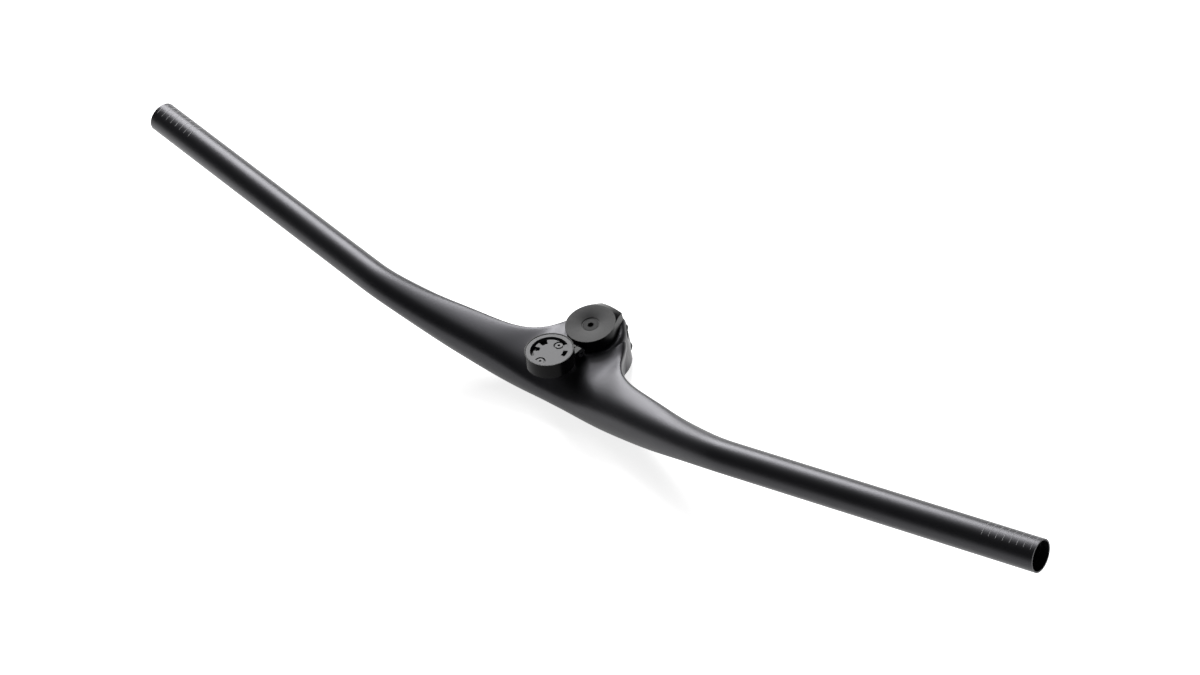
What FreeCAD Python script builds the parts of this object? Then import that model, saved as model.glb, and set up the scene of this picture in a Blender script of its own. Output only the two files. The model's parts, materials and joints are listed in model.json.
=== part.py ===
"""Integrated handlebar and stem with a clamped steerer, a top cap and a hinged computer mount.

Frame: millimetres, +Z up the steerer axis, +X to the right hand grip, -Y forwards.
The origin is on the steerer axis at the underside of the steerer clamp.
"""

import FreeCAD
import Part
import math
import os

Vector = FreeCAD.Vector
Rotation = FreeCAD.Rotation
Placement = FreeCAD.Placement

SIZES = {
    # Bar
    "bar_width": 780.0,
    "tube_diameter": 22.2,
    "bar_wall": 2.0,
    "back_sweep": 7.15,
    "up_sweep": 4.3,
    "wing_half_span": 150.0,
    "wing_forward": 47.7,
    "wing_rise": 43.7,
    "tube_blend": 45.0,
    "centre_height": 12.8,
    "front_forward": 50.2,
    "belly_half_height": 12.0,
    "shoulder_half_height": 13.6,
    "skin_below_clamp_face": 0.4,
    # Stem and steerer clamp
    "clamp_height": 32.0,
    "clamp_radius": 22.5,
    "steerer_radius": 14.3,
    "steerer_grip": 24.3,
    "relief_depth": 0.4,
    "ear_half_width": 8.5,
    "ear_back": 24.0,
    "ear_draft": 0.6,
    "ear_round": 6.5,
    "clamp_top_round": 5.5,
    "clamp_bottom_round": 4.5,
    "slit_width": 2.4,
    "bore_wall": 4.2,
    # Clamp bolts
    "bolt_back": 18.2,
    "upper_bolt_drop": 7.4,
    "lower_bolt_height": 6.2,
    "bolt_seat": 6.5,
    "bolt_radius": 2.5,
    "bolt_head_radius": 4.25,
    "bolt_head_height": 3.6,
    "bolt_hole_clearance": 0.2,
    "recess_clearance": 0.25,
    "washer_thickness": 0.8,
    "nut_length": 4.2,
    "bolt_end_beyond_nut": 0.3,
    # Mount base on the clamp, and its tail
    "base_height": 6.6,
    "base_radius": 17.3,
    "base_bore": 14.7,
    "tail_back": 21.5,
    "tail_half_width": 9.0,
    "tail_base_height": 3.0,
    # Top cap
    "cap_rim": 3.4,
    "cap_edge": 0.7,
    "dish_depth": 0.9,
    "dish_floor_radius": 6.3,
    "cap_recess_depth": 0.5,
    "cap_spigot_radius": 12.0,
    "cap_spigot_depth": 3.6,
    "cap_slope": 0.75,
    "cap_bolt_radius": 3.0,
    "cap_bolt_head_radius": 5.1,
    "cap_bolt_head_height": 3.2,
    "cap_bolt_length": 11.5,
    "cap_hole_clearance": 0.25,
    # Hinge
    "hinge_forward": 21.2,
    "hinge_drop": 4.5,
    "knuckle_radius": 3.5,
    "knuckle_width": 9.2,
    "hinge_side_gap": 0.3,
    "lug_width": 4.3,
    "pin_radius": 2.0,
    "pin_clearance": 0.05,
    "pin_head_radius": 3.0,
    "pin_head_height": 1.9,
    "pin_head_recess": 1.6,
    "hinge_nut_across": 5.6,
    "hinge_nut_depth": 1.7,
    # Mount cup, measured from the hinge axis in the cup's own tilt
    "cup_tilt": 6.7,
    "cup_reach": 20.3,
    "cup_top": 13.4,
    "cup_depth": 11.0,
    "cup_radius": 16.7,
    "cup_rim_wall": 0.8,
    "lug_reach": 10.0,
    # Bayonet insert in the cup
    "insert_clearance": 0.1,
    "insert_below_rim": 0.3,
    "insert_thickness": 3.2,
    "insert_opening": 12.9,
    "plate_radius": 10.6,
    "plate_waist": 6.6,
    "plate_below_ring": 0.5,
    "screw_spacing": 19.0,
    "screw_offset": 2.1,
    "screw_offset_forward": 2.1,
    "screw_head_radius": 2.5,
    "screw_recess_radius": 3.7,
    "screw_radius": 1.3,
    "screw_length": 6.0,
    "screw_head_height": 1.2,
}

doc = FreeCAD.newDocument("handlebar_stem")
sheet = doc.addObject("Spreadsheet::Sheet", "Sizes")
for row, (alias, value) in enumerate(SIZES.items(), start=1):
    sheet.set("A%d" % row, alias)
    sheet.set("B%d" % row, str(value))
    sheet.setAlias("B%d" % row, alias)
doc.recompute()


def size(alias):
    """Value of one named size, in millimetres or degrees."""
    return float(getattr(sheet, alias))


def bound(expression):
    """Expression on the sheet, with each alias written plainly."""
    words = sorted(SIZES, key=len, reverse=True)
    marked = expression
    for index, word in enumerate(words):
        marked = marked.replace(word, "<%d>" % index)
    for index, word in enumerate(words):
        marked = marked.replace("<%d>" % index, "Sizes." + word)
    return marked


def primitive(kind, name, at=(0, 0, 0), turn=None, **sizes):
    """Part primitive with its sizes and its place bound to the sheet."""
    item = doc.addObject("Part::" + kind, name)
    if turn:
        item.Placement = Placement(Vector(), Rotation(Vector(*turn[0]), turn[1]))
    for axis, value in zip("xyz", at):
        if isinstance(value, str):
            item.setExpression("Placement.Base." + axis, bound(value))
    for name_of_size, value in sizes.items():
        if isinstance(value, str):
            item.setExpression(name_of_size, bound(value))
        else:
            setattr(item, name_of_size, value)
    return item


ALONG_X = ((0, 1, 0), 90)


def fuse(name, *shapes):
    item = doc.addObject("Part::MultiFuse", name)
    item.Shapes = list(shapes)
    return item


def cut(name, base, *tools):
    """Base less every tool."""
    item = doc.addObject("Part::Cut", name)
    item.Base = base
    item.Tool = tools[0] if len(tools) == 1 else fuse(name + "_tools", *tools)
    return item


def feature(name, shape):
    """Form that no primitive gives, made from the sheet by the code above it."""
    item = doc.addObject("Part::Feature", name)
    item.Shape = shape
    return item


def hex_prism(name, across, depth, at, turn=None):
    """Hexagon socket or nut; across is the distance over its flats."""
    return primitive(
        "Prism", name, at=at, turn=turn, Polygon=6,
        Circumradius="(%s) / sqrt(3)" % across, Height=depth,
    )


# Carbon body: a closed skin through rows of control points, one row for each section.

POLES_IN_ROW = 16
CUBIC = 3
STEP_ANGLE = 2 * math.pi / POLES_IN_ROW
# A cubic ring through evenly spaced poles runs this share of their radius from the centre.
RING_SHARE = (2 + math.cos(STEP_ANGLE)) / 3

# Rows of one half from the middle outwards. Each row crosses the bar from its front edge
# to its rear edge: place along the half span, rear edge, share of the rise, squareness.
WING_ROWS = [
    # front share, rear x, rear y, rise share, squareness
    (0.00, 0.0, 7.0, 0.00, 3.2),
    (0.04, 13.0, 7.0, 0.00, 3.2),
    (0.09, 20.5, 3.5, 0.01, 3.2),
    (0.14, 25.0, -3.0, 0.03, 3.2),
    (0.19, 29.5, -8.5, 0.06, 3.1),
    (0.25, 35.5, -13.0, 0.11, 2.9),
    (0.32, 45.0, -16.8, 0.17, 2.7),
    (0.40, 57.0, -20.0, 0.25, 2.5),
    (0.50, 72.5, -23.0, 0.36, 2.4),
    (0.61, 90.0, -26.7, 0.49, 2.3),
    (0.73, 109.0, -31.0, 0.66, 2.2),
    (0.87, 130.0, -34.5, 0.85, 2.1),
]
TABLE_HALF_SPAN = 150.0
LEVEL = 0.001
# Sections of the skin between the half span and the round tube, as shares of the blend.
BLEND_SHARES = (0.0, 0.4, 1.0)
# The skin's last section and the round tube agree within this distance.
SEAM = 0.005
# Cutting tools run this far past the open ends that they cut.
OVERRUN = 4.0
# The shoulders, where bar and stem flow together, are deepest at this share of the half span.
SHOULDER_SHARE = 0.5


def smooth(share):
    """Smooth step from 0 to 1."""
    return share * share * (3 - 2 * share)


def ring(centre, across, upwards, half_depth, half_height, squareness):
    """Control points of one rounded section; across points to the rear."""
    poles = []
    for index in range(POLES_IN_ROW):
        angle = index * STEP_ANGLE
        power = 2.0 / squareness
        along = math.copysign(abs(math.cos(angle)) ** power, math.cos(angle))
        rise = math.copysign(abs(math.sin(angle)) ** power, math.sin(angle))
        height, lift = half_height(along)
        poles.append(
            centre
            + across * (half_depth * along / RING_SHARE)
            + upwards * (height * rise / RING_SHARE + lift)
        )
    return poles


def tube_axis():
    """Direction of the right hand tube, and its centre at the half span of the wing."""
    direction = Vector(
        1,
        math.tan(math.radians(size("back_sweep"))),
        math.tan(math.radians(size("up_sweep"))),
    ).normalize()
    start = Vector(size("wing_half_span"), -size("wing_forward"), size("wing_rise"))
    return direction, start


def tube_point(x):
    direction, start = tube_axis()
    return start + direction * ((x - start.x) / direction.x)


def tube_row(x, inset):
    """Round section of the grip tube, square to the tube."""
    direction, _ = tube_axis()
    across = Vector(-direction.y, direction.x, 0).normalize()
    upwards = direction.cross(across)
    radius = size("tube_diameter") / 2 - inset
    return ring(tube_point(x), across, upwards, radius, lambda along: (radius, 0), 2.0)


def wing_row(row, inset):
    """Section between the front edge of the bar and the rear edge of bar, flare or stem."""
    share, rear_x, rear_y, rise_share, squareness = row
    span_scale = size("wing_half_span") / TABLE_HALF_SPAN
    tube_radius = size("tube_diameter") / 2
    front_out = size("wing_forward") + tube_radius
    front = Vector(
        share * size("wing_half_span"),
        -size("front_forward") - (front_out - size("front_forward")) * smooth(share),
        0,
    )
    rear = Vector(rear_x * span_scale, rear_y, 0)
    across = (rear - front).normalize()
    front += across * inset
    rear -= across * inset
    if inset:
        wall_line = -size("steerer_radius") - size("bore_wall")
        if rear.y > wall_line:
            rear -= across * ((rear.y - wall_line) / across.y)
    middle = (front + rear) * 0.5
    bar_height = size("centre_height")
    bar_height += (size("wing_rise") - size("centre_height")) * rise_share
    shoulder = max(0.0, 1 - abs(share - SHOULDER_SHARE) / SHOULDER_SHARE)
    half = size("belly_half_height") * (1 - share) + tube_radius * share
    half += (size("shoulder_half_height") - half) * smooth(shoulder)
    clamp_half = size("clamp_height") / 2
    toward_clamp = smooth(max(0.0, 1 - share / SHOULDER_SHARE))
    middle.z = bar_height

    def height_at(along):
        """Half height and lift at a place from the front, -1, to the rear, 1."""
        mix = toward_clamp * (1 + along) / 2
        half_here = half + (clamp_half - size("skin_below_clamp_face") - half) * mix - inset
        lift = (clamp_half - bar_height) * mix
        return half_here, lift

    half_depth = (rear - front).Length / 2
    return ring(middle, across, Vector(0, 0, 1), half_depth, height_at, squareness)


def mirrored(poles):
    return [Vector(-point.x, point.y, point.z) for point in poles]


def wing_skin(inset):
    """Closed solid inside the wing's skin, up to the flat ends where the tubes begin."""
    wing = size("wing_half_span")
    outer = [tube_row(wing + size("tube_blend") * share, inset) for share in BLEND_SHARES]
    half = [wing_row(row, inset) for row in WING_ROWS] + outer
    rows = [mirrored(poles) for poles in reversed(half[1:])] + half
    spans = len(rows) - CUBIC
    surface = Part.BSplineSurface()
    surface.buildFromPolesMultsKnots(
        rows,
        [CUBIC + 1] + [1] * (spans - 1) + [CUBIC + 1],
        [1] * (POLES_IN_ROW + 1),
        list(range(spans + 1)),
        list(range(POLES_IN_ROW + 1)),
        False, True, CUBIC, CUBIC,
    )
    faces = []
    for span in range(spans):
        patch = surface.copy()
        patch.segment(span, span + 1, 0, POLES_IN_ROW)
        faces.append(patch.toShape())
    for face, side in ((faces[-1], 1), (faces[0], -1)):
        rim = max(face.Edges, key=lambda edge: side * edge.CenterOfMass.x)
        faces.append(Part.Face(Part.Wire([rim])))
    shell = Part.Shell(faces)
    shell.sewShape()
    solid = Part.Solid(shell)
    if solid.Volume < 0:
        solid.reverse()
    return solid


def bar_skin(inset, overrun):
    """Wing with its two round tubes, inset from the outer surface, past the tube ends."""
    direction, start = tube_axis()
    seat = tube_point(start.x + size("tube_blend"))
    length = (size("bar_width") / 2 - seat.x) / direction.x + overrun
    radius = size("tube_diameter") / 2 - inset
    tubes = []
    for side in (1, -1):
        place = Vector(side * seat.x, seat.y, seat.z)
        along = Vector(side * direction.x, direction.y, direction.z)
        tubes.append(Part.makeCylinder(radius, length, place, along))
    return wing_skin(inset).fuse(tubes, SEAM).Solids[0]


def clamp_outline(height, back):
    """Outline of the steerer clamp: a round front that tapers to the two rear ears."""
    radius = size("clamp_radius")
    ear = size("ear_half_width")
    reach = math.hypot(ear, back)
    touch = math.atan2(back, ear) - math.acos(radius / reach)
    right = Vector(radius * math.cos(touch), radius * math.sin(touch), height)
    left = Vector(-right.x, right.y, height)
    edges = [
        Part.LineSegment(right, Vector(ear, back, height)).toShape(),
        Part.LineSegment(Vector(ear, back, height), Vector(-ear, back, height)).toShape(),
        Part.LineSegment(Vector(-ear, back, height), left).toShape(),
        Part.Arc(left, Vector(0, -radius, height), right).toShape(),
    ]
    return Part.Wire(edges)


def is_level(edge, height):
    """True for an edge that lies in the plane at this height."""
    box = edge.BoundBox
    return abs(box.ZMin - height) < LEVEL and abs(box.ZMax - height) < LEVEL


def clamp_block():
    """Steerer clamp without its bore; the rear face leans forwards towards the bottom."""
    bottom = clamp_outline(0, size("ear_back") - size("ear_draft"))
    top = clamp_outline(size("clamp_height"), size("ear_back"))
    block = Part.makeLoft([bottom, top], True, True)
    corners = [
        edge for edge in block.Edges
        if edge.CenterOfMass.y > size("ear_back") - 2 * size("ear_draft")
        and abs(edge.tangentAt(edge.FirstParameter).z) > 0.9
    ]
    block = block.makeFillet(size("ear_round"), corners)
    for height, radius in (
        (size("clamp_height"), size("clamp_top_round")),
        (0.0, size("clamp_bottom_round")),
    ):
        rim = [edge for edge in block.Edges if is_level(edge, height)]
        block = block.makeFillet(radius, rim)
    return block


# Heights of the two clamp bolts, one above the other.
BOLT_HEIGHTS = {
    "upper": "clamp_height - upper_bolt_drop",
    "lower": "lower_bolt_height",
}


def clamp_bolt_tools():
    """Shank holes and head or nut recesses, for one bolt from each side."""
    tools = []
    for word, height in BOLT_HEIGHTS.items():
        tools.append(primitive(
            "Cylinder", word + "_shank_hole", turn=ALONG_X,
            at=("-clamp_radius", "bolt_back", height),
            Radius="bolt_radius + bolt_hole_clearance", Height="2 * clamp_radius",
        ))
        for side, start in (("right", "bolt_seat"), ("left", "-bolt_seat - clamp_radius")):
            tools.append(primitive(
                "Cylinder", "%s_%s_recess" % (word, side), turn=ALONG_X,
                at=(start, "bolt_back", height),
                Radius="bolt_head_radius + recess_clearance", Height="clamp_radius",
            ))
    return tools


def make_bar_stem():
    outer = feature("bar_outer_skin", bar_skin(0.0, 0.0))
    clamp = feature("steerer_clamp_block", clamp_block())
    hollow = feature("bar_hollow", bar_skin(size("bar_wall"), OVERRUN))
    blank = fuse("bar_stem_blank", outer, clamp)
    bore = primitive(
        "Cylinder", "steerer_bore", at=("0", "0", "-clamp_height"),
        Radius="steerer_radius", Height="3 * clamp_height",
    )
    relief = primitive(
        "Cylinder", "steerer_relief", at=("0", "0", "steerer_grip"),
        Radius="steerer_radius + relief_depth", Height="clamp_height",
    )
    slit = primitive(
        "Box", "clamp_slit", at=("-slit_width / 2", "0", "-clamp_height"),
        Length="slit_width", Width="2 * ear_back", Height="3 * clamp_height",
    )
    return cut("bar_stem", blank, hollow, bore, relief, slit, *clamp_bolt_tools())


def make_clamp_bolts():
    """Two socket bolts, the upper one from the right and the lower one from the left."""
    solids = []
    sides = (("upper", 1), ("lower", -1))
    for word, side in sides:
        height = BOLT_HEIGHTS[word]
        head_start = "bolt_seat + washer_thickness"
        length = "bolt_seat + nut_length + bolt_end_beyond_nut"
        if side > 0:
            head_at = head_start
            shank_at = "-(%s)" % length
            socket_at = head_start + " + bolt_head_height / 2"
        else:
            head_at = "-(%s) - bolt_head_height" % head_start
            shank_at = "-(%s)" % head_start
            socket_at = head_at
        head = primitive(
            "Cylinder", word + "_bolt_head", turn=ALONG_X, at=(head_at, "bolt_back", height),
            Radius="bolt_head_radius", Height="bolt_head_height",
        )
        shank = primitive(
            "Cylinder", word + "_bolt_shank", turn=ALONG_X, at=(shank_at, "bolt_back", height),
            Radius="bolt_radius", Height="(%s) + (%s)" % (head_start, length),
        )
        socket = hex_prism(
            word + "_bolt_socket", "bolt_radius * 1.6", "bolt_head_height / 2",
            (socket_at, "bolt_back", height), ALONG_X,
        )
        solids.append(cut(word + "_bolt", fuse(word + "_bolt_blank", head, shank), socket))
    return group("clamp_bolts", solids)


def group(name, items):
    """Separate solids of like pieces, kept in one node."""
    item = doc.addObject("Part::Compound", name)
    item.Links = items
    return item


def make_clamp_washers():
    solids = []
    for word, start in (("upper", "bolt_seat"), ("lower", "-bolt_seat - washer_thickness")):
        at = (start, "bolt_back", BOLT_HEIGHTS[word])
        disc = primitive(
            "Cylinder", word + "_washer_disc", turn=ALONG_X, at=at,
            Radius="bolt_head_radius", Height="washer_thickness",
        )
        hole = primitive(
            "Cylinder", word + "_washer_hole", turn=ALONG_X, at=at,
            Radius="bolt_radius + bolt_hole_clearance", Height="washer_thickness",
        )
        solids.append(cut(word + "_washer", disc, hole))
    return group("clamp_washers", solids)


def make_clamp_nuts():
    """Round threaded nuts in the recesses across from the bolt heads."""
    solids = []
    for word, start in (("upper", "-bolt_seat - nut_length"), ("lower", "bolt_seat")):
        at = (start, "bolt_back", BOLT_HEIGHTS[word])
        body = primitive(
            "Cylinder", word + "_nut_body", turn=ALONG_X, at=at,
            Radius="bolt_head_radius", Height="nut_length",
        )
        thread = primitive(
            "Cylinder", word + "_nut_thread", turn=ALONG_X, at=at,
            Radius="bolt_radius", Height="nut_length",
        )
        solids.append(cut(word + "_nut", body, thread))
    return group("clamp_nuts", solids)


# Mount base, a ring on the clamp with a tail over the ears and a hinge knuckle in front.

def tailed_plate(name, low, height):
    """Plate with the round front of the base and its tapered tail."""
    radius = size("base_radius")
    half = size("tail_half_width")
    back = size("tail_back")
    touch = math.atan2(back, half) - math.acos(radius / math.hypot(half, back))
    right = Vector(radius * math.cos(touch), radius * math.sin(touch), low)
    left = Vector(-right.x, right.y, low)
    wire = Part.Wire([
        Part.LineSegment(right, Vector(half, back, low)).toShape(),
        Part.LineSegment(Vector(half, back, low), Vector(-half, back, low)).toShape(),
        Part.LineSegment(Vector(-half, back, low), left).toShape(),
        Part.Arc(left, Vector(0, -radius, low), right).toShape(),
    ])
    return feature(name, Part.Face(wire).extrude(Vector(0, 0, height)))


def make_mount_base():
    ring_part = primitive(
        "Cylinder", "base_ring", at=("0", "0", "clamp_height"),
        Radius="base_radius", Height="base_height",
    )
    tail = tailed_plate("base_tail", size("clamp_height"), size("tail_base_height"))
    knuckle = primitive(
        "Cylinder", "base_knuckle", turn=ALONG_X,
        at=("-knuckle_width / 2", "-hinge_forward",
            "clamp_height + base_height + cap_rim - hinge_drop"),
        Radius="knuckle_radius", Height="knuckle_width",
    )
    neck = primitive(
        "Box", "base_neck",
        at=("-knuckle_width / 2", "-hinge_forward",
            "clamp_height + base_height + cap_rim - hinge_drop - knuckle_radius"),
        Length="knuckle_width", Width="hinge_forward - base_bore",
        Height="knuckle_radius + hinge_drop - cap_rim",
    )
    bore = primitive(
        "Cylinder", "base_bore_tool", at=("0", "0", "0"),
        Radius="base_bore", Height="3 * clamp_height",
    )
    pin_hole = primitive(
        "Cylinder", "base_pin_hole", turn=ALONG_X,
        at=("-knuckle_width", "-hinge_forward",
            "clamp_height + base_height + cap_rim - hinge_drop"),
        Radius="pin_radius + pin_clearance", Height="2 * knuckle_width",
    )
    blank = fuse("base_blank", ring_part, tail, knuckle, neck)
    return cut("mount_base", blank, bore, pin_hole)


def make_top_cap():
    """Dished cap with a sloping tail, a recessed bolt seat and a spigot into the steerer."""
    seat = size("clamp_height") + size("base_height")
    tail_low = size("clamp_height") + size("tail_base_height")
    top = seat + size("cap_rim")
    disc = primitive(
        "Cylinder", "cap_disc", at=("0", "0", "clamp_height + base_height"),
        Radius="base_radius", Height="cap_rim",
    )
    tail = tailed_plate("cap_tail_plate", tail_low, top - tail_low)
    slope = primitive(
        "Cone", "cap_tail_slope",
        at=("0", "0", "clamp_height + base_height + cap_rim - 2 * base_radius * cap_slope"),
        Radius1="3 * base_radius", Radius2="base_radius",
        Height="2 * base_radius * cap_slope",
    )
    sloped = doc.addObject("Part::Common", "cap_tail_sloped")
    sloped.Base = tail
    sloped.Tool = slope
    ring_room = primitive(
        "Cylinder", "cap_ring_room", at=("0", "0", "0"),
        Radius="base_radius", Height="clamp_height + base_height",
    )
    tail_part = cut("cap_tail", sloped, ring_room)
    spigot = primitive(
        "Cylinder", "cap_spigot", at=("0", "0", "clamp_height + base_height - cap_spigot_depth"),
        Radius="cap_spigot_radius", Height="cap_spigot_depth",
    )
    dish = primitive(
        "Cone", "cap_dish",
        at=("0", "0", "clamp_height + base_height + cap_rim - dish_depth"),
        Radius1="dish_floor_radius", Radius2="base_radius - cap_edge", Height="dish_depth",
    )
    recess = primitive(
        "Cylinder", "cap_recess",
        at=("0", "0", "clamp_height + base_height + cap_rim - dish_depth - cap_recess_depth"),
        Radius="dish_floor_radius", Height="dish_depth",
    )
    head_room = primitive(
        "Cylinder", "cap_head_room",
        at=("0", "0", "clamp_height + base_height + cap_rim - dish_depth - cap_recess_depth"
            " - cap_bolt_head_height"),
        Radius="cap_bolt_head_radius + cap_hole_clearance", Height="cap_rim + dish_depth",
    )
    hole = primitive(
        "Cylinder", "cap_hole", at=("0", "0", "0"),
        Radius="cap_bolt_radius + cap_hole_clearance", Height="3 * clamp_height",
    )
    blank = fuse("cap_blank", disc, tail_part, spigot)
    return cut("top_cap", blank, dish, recess, head_room, hole)


def make_cap_bolt():
    seat = "clamp_height + base_height + cap_rim - dish_depth - cap_recess_depth"
    seat += " - cap_bolt_head_height"
    head = primitive(
        "Cylinder", "cap_bolt_head", at=("0", "0", seat),
        Radius="cap_bolt_head_radius", Height="cap_bolt_head_height",
    )
    shank = primitive(
        "Cylinder", "cap_bolt_shank", at=("0", "0", seat + " - cap_bolt_length"),
        Radius="cap_bolt_radius", Height="cap_bolt_length",
    )
    socket = hex_prism(
        "cap_bolt_socket", "cap_bolt_radius * 4 / 3", "cap_bolt_head_height",
        ("0", "0", seat + " + cap_bolt_head_height / 3"),
    )
    return cut("top_cap_bolt", fuse("cap_bolt_blank", head, shank), socket)


# Everything that swings with the cup is built about the hinge axis and then placed there.

def place_on_hinge(item):
    item.Placement = Placement(Vector(), Rotation(Vector(1, 0, 0), 1))
    item.setExpression("Placement.Base.y", bound("-hinge_forward"))
    item.setExpression(
        "Placement.Base.z", bound("clamp_height + base_height + cap_rim - hinge_drop")
    )
    item.setExpression("Placement.Rotation.Angle", bound("-cup_tilt"))
    return item


def make_mount_cup():
    shell = primitive(
        "Cylinder", "cup_shell", at=("0", "-cup_reach", "cup_top - cup_depth"),
        Radius="cup_radius", Height="cup_depth",
    )
    lugs = []
    starts = ("knuckle_width / 2 + hinge_side_gap",
              "-knuckle_width / 2 - hinge_side_gap - lug_width")
    for word, start in zip(("right", "left"), starts):
        lugs.append(primitive(
            "Cylinder", word + "_lug_eye", turn=ALONG_X, at=(start, "0", "0"),
            Radius="knuckle_radius", Height="lug_width",
        ))
        lugs.append(primitive(
            "Box", word + "_lug_arm", at=(start, "-lug_reach", "-knuckle_radius"),
            Length="lug_width", Width="lug_reach", Height="2 * knuckle_radius",
        ))
    socket = primitive(
        "Cylinder", "cup_socket",
        at=("0", "-cup_reach", "cup_top - insert_below_rim - insert_thickness"),
        Radius="cup_radius - cup_rim_wall", Height="cup_depth",
    )
    pin_hole = primitive(
        "Cylinder", "lug_pin_hole", turn=ALONG_X, at=("-knuckle_width * 2", "0", "0"),
        Radius="pin_radius + pin_clearance", Height="4 * knuckle_width",
    )
    head_room = primitive(
        "Cylinder", "pin_head_room", turn=ALONG_X,
        at=("knuckle_width / 2 + hinge_side_gap + lug_width - pin_head_recess", "0", "0"),
        Radius="pin_head_radius + pin_clearance", Height="lug_width",
    )
    nut_room = hex_prism(
        "hinge_nut_room", "hinge_nut_across + 2 * pin_clearance", "lug_width",
        ("-knuckle_width / 2 - hinge_side_gap - 2 * lug_width + hinge_nut_depth", "0", "0"),
        ALONG_X,
    )
    screw_holes = []
    for word, y in screw_places():
        screw_holes.append(primitive(
            "Cylinder", word + "_screw_thread",
            at=("screw_offset", y,
                "cup_top - insert_below_rim - plate_below_ring - screw_head_height"
                " - screw_length"),
            Radius="screw_radius", Height="cup_depth",
        ))
    blank = fuse("cup_blank", shell, *lugs)
    cup = cut("mount_cup", blank, socket, pin_hole, head_room, nut_room, *screw_holes)
    return place_on_hinge(cup)


def screw_places():
    """Names and fore and aft places of the two screws that hold the insert."""
    middle = "-cup_reach - screw_offset_forward"
    return (
        ("rear", middle + " + screw_spacing / 2"),
        ("front", middle + " - screw_spacing / 2"),
    )


def sector(name, inner, outer, start_angle, sweep):
    """Ring segment as tall as the insert, centred on the cup."""
    pieces = []
    for word, radius in (("outer", outer), ("inner", inner)):
        piece = primitive(
            "Cylinder", "%s_%s" % (name, word), turn=((0, 0, 1), start_angle),
            at=("0", "-cup_reach", "cup_top - cup_depth"),
            Radius=radius, Height="2 * cup_depth", Angle=sweep,
        )
        pieces.append(piece)
    return cut(name, *pieces)


# Gaps of the bayonet socket, in degrees from the right hand side of the cup.
LONG_GAP = (63.0, 180.0)
DEEP_GAP = (140.0, 78.0)
SHORT_GAP = (4.0, 28.0)
DETENT = (172.0, 22.0)


def make_bayonet_insert():
    low = "cup_top - insert_below_rim - insert_thickness"
    disc = primitive(
        "Cylinder", "insert_disc", at=("0", "-cup_reach", low),
        Radius="cup_radius - cup_rim_wall - insert_clearance", Height="insert_thickness",
    )
    sunk = primitive(
        "Cylinder", "insert_sunk_floor",
        at=("0", "-cup_reach", "cup_top - insert_below_rim - plate_below_ring"),
        Radius="insert_opening", Height="cup_depth",
    )
    long_gap = sector("long_gap", "plate_radius", "insert_opening", *LONG_GAP)
    deep_gap = sector("deep_gap", "plate_waist", "insert_opening", *DEEP_GAP)
    short_gap = sector("short_gap", "plate_radius - 1", "insert_opening", *SHORT_GAP)
    detent = sector("detent_slot", "plate_waist", "plate_radius + 0.4", *DETENT)
    gaps = fuse("bayonet_gaps", long_gap, cut("deep_gap_open", deep_gap, detent), short_gap)
    holes = []
    for word, y in screw_places():
        holes.append(primitive(
            "Cylinder", word + "_insert_hole", at=("screw_offset", y, "0"),
            Radius="screw_radius", Height="2 * cup_top",
        ))
        holes.append(primitive(
            "Cylinder", word + "_insert_seat",
            at=("screw_offset", y,
                "cup_top - insert_below_rim - plate_below_ring - screw_head_height"),
            Radius="screw_recess_radius", Height="screw_head_height",
        ))
    insert = cut("bayonet_insert", disc, sunk, gaps, *holes)
    return place_on_hinge(insert)


def make_insert_screws():
    solids = []
    seat = "cup_top - insert_below_rim - plate_below_ring - screw_head_height"
    for word, y in screw_places():
        head = primitive(
            "Cylinder", word + "_screw_head", at=("screw_offset", y, seat),
            Radius="screw_head_radius", Height="screw_head_height",
        )
        shank = primitive(
            "Cylinder", word + "_screw_shank", at=("screw_offset", y, seat + " - screw_length"),
            Radius="screw_radius", Height="screw_length",
        )
        socket = hex_prism(
            word + "_screw_socket", "screw_radius * 1.4", "screw_head_height",
            ("screw_offset", y, seat + " + screw_head_height / 3"),
        )
        solids.append(cut(word + "_screw", fuse(word + "_screw_blank", head, shank), socket))
    return place_on_hinge(group("insert_screws", solids))


def make_hinge_screw():
    outside = "knuckle_width / 2 + hinge_side_gap + lug_width"
    head = primitive(
        "Cylinder", "pin_head", turn=ALONG_X, at=(outside + " - pin_head_recess", "0", "0"),
        Radius="pin_head_radius", Height="pin_head_height",
    )
    shank = primitive(
        "Cylinder", "pin_shank", turn=ALONG_X, at=("-(%s)" % outside, "0", "0"),
        Radius="pin_radius", Height="2 * (%s) - pin_head_recess" % outside,
    )
    socket = hex_prism(
        "pin_socket", "pin_radius * 1.25", "pin_head_height",
        (outside + " - pin_head_recess + pin_head_height / 3", "0", "0"), ALONG_X,
    )
    return place_on_hinge(cut("hinge_screw", fuse("pin_blank", head, shank), socket))


def make_hinge_nut():
    start = "-knuckle_width / 2 - hinge_side_gap - lug_width"
    body = hex_prism(
        "hinge_nut_body", "hinge_nut_across", "hinge_nut_depth", (start, "0", "0"), ALONG_X,
    )
    thread = primitive(
        "Cylinder", "hinge_nut_thread", turn=ALONG_X, at=(start, "0", "0"),
        Radius="pin_radius", Height="hinge_nut_depth",
    )
    return place_on_hinge(cut("hinge_nut", body, thread))


def check_document():
    for item in doc.Objects:
        for fault in ("Invalid", "Error"):
            if fault in item.State:
                raise RuntimeError("%s is %s" % (item.Name, fault))


def write_nodes(nodes):
    os.makedirs("parts", exist_ok=True)
    for node in nodes:
        shape = node.Shape
        if shape.isNull() or not shape.isValid():
            raise RuntimeError("%s has no valid shape" % node.Label)
        shape.exportStep("parts/%s.step" % node.Label)
        print("%-16s %2d solids %9.1f mm3" % (node.Label, len(shape.Solids), shape.Volume))


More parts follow.
